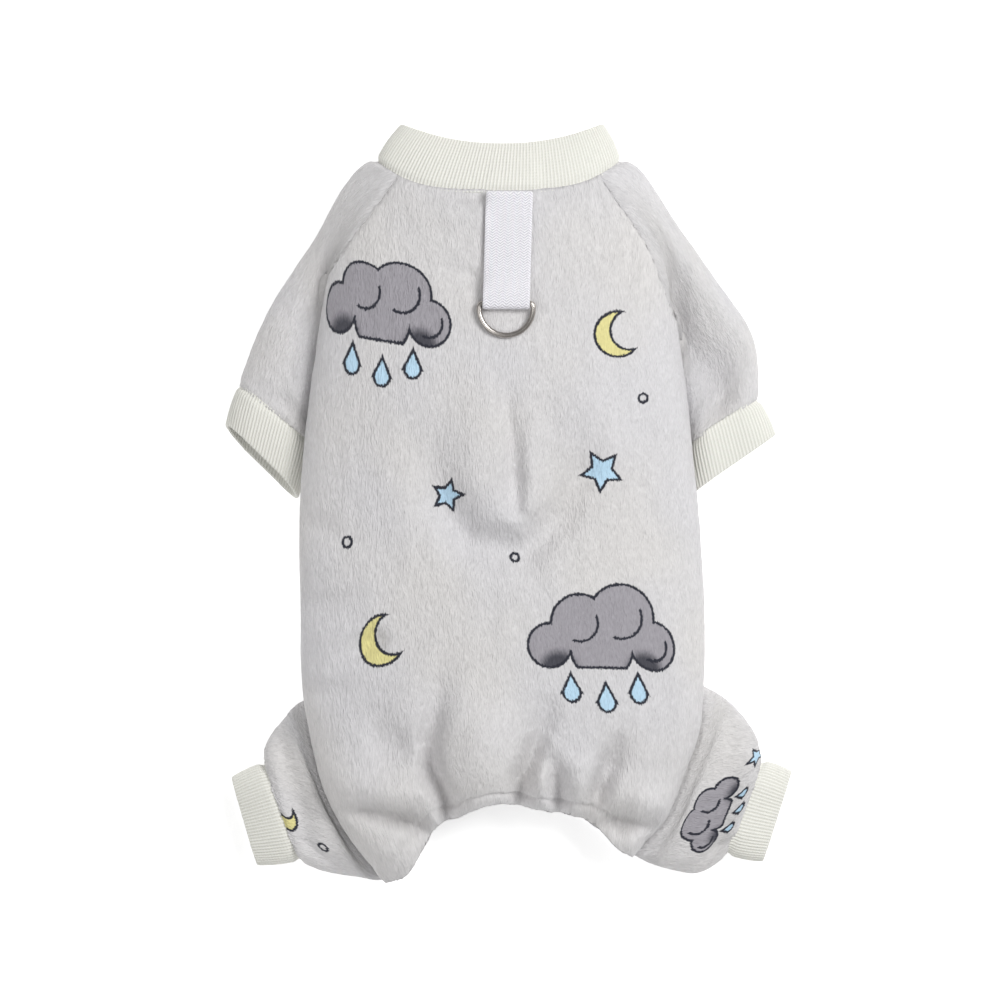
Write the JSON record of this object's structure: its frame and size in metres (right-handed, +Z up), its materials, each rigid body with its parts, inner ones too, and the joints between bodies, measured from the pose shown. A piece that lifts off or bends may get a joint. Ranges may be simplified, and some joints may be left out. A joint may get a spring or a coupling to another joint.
{
  "type": "dog jumpsuit",
  "caption": "Plush pet onesie lying on its belly, with rib-knit collar and cuffs, raglan sleeves, short hind legs, a gathered hem, and a webbing tab that holds a swinging D-ring",
  "frame": {"origin": "On the surface that the suit lies on, below the middle of its bounding box", "axes": "+Y points from the hind legs to the collar, +X to the edge that shows on the right from above, +Z up out of the back"},
  "size_m": [0.2456, 0.3268, 0.0591],
  "materials": {
    "plush_back": "short pale grey plush with a printed pattern",
    "plush_belly": "short pale grey plush with a printed pattern",
    "plush_sleeves": "short pale grey plush with a printed pattern",
    "plush_legs": "short pale grey plush with a printed pattern",
    "rib_knit": "cream rib knit",
    "webbing": "cool white herringbone webbing",
    "nickel": "polished nickel wire"
  },
  "bodies": {
    "suit": {"back_panel": "plush_back", "belly_panel": "plush_belly", "sleeve_left": "plush_sleeves", "sleeve_right": "plush_sleeves", "front_cuff_left": "rib_knit", "front_cuff_right": "rib_knit", "hind_leg_left": "plush_legs", "hind_leg_right": "plush_legs", "hind_cuff_left": "rib_knit", "hind_cuff_right": "rib_knit", "collar": "rib_knit", "leash_tab": "webbing"},
    "ring": {"d_ring": "nickel"}
  },
  "joints": [
    {"name": "ring_swing", "type": "hinge", "parent": "suit", "child": "ring", "pos_m": [-0.00101, 0.08458, 0.05646], "axis": [-1, 0, 0], "range_deg": [0, 150]}
  ]
}
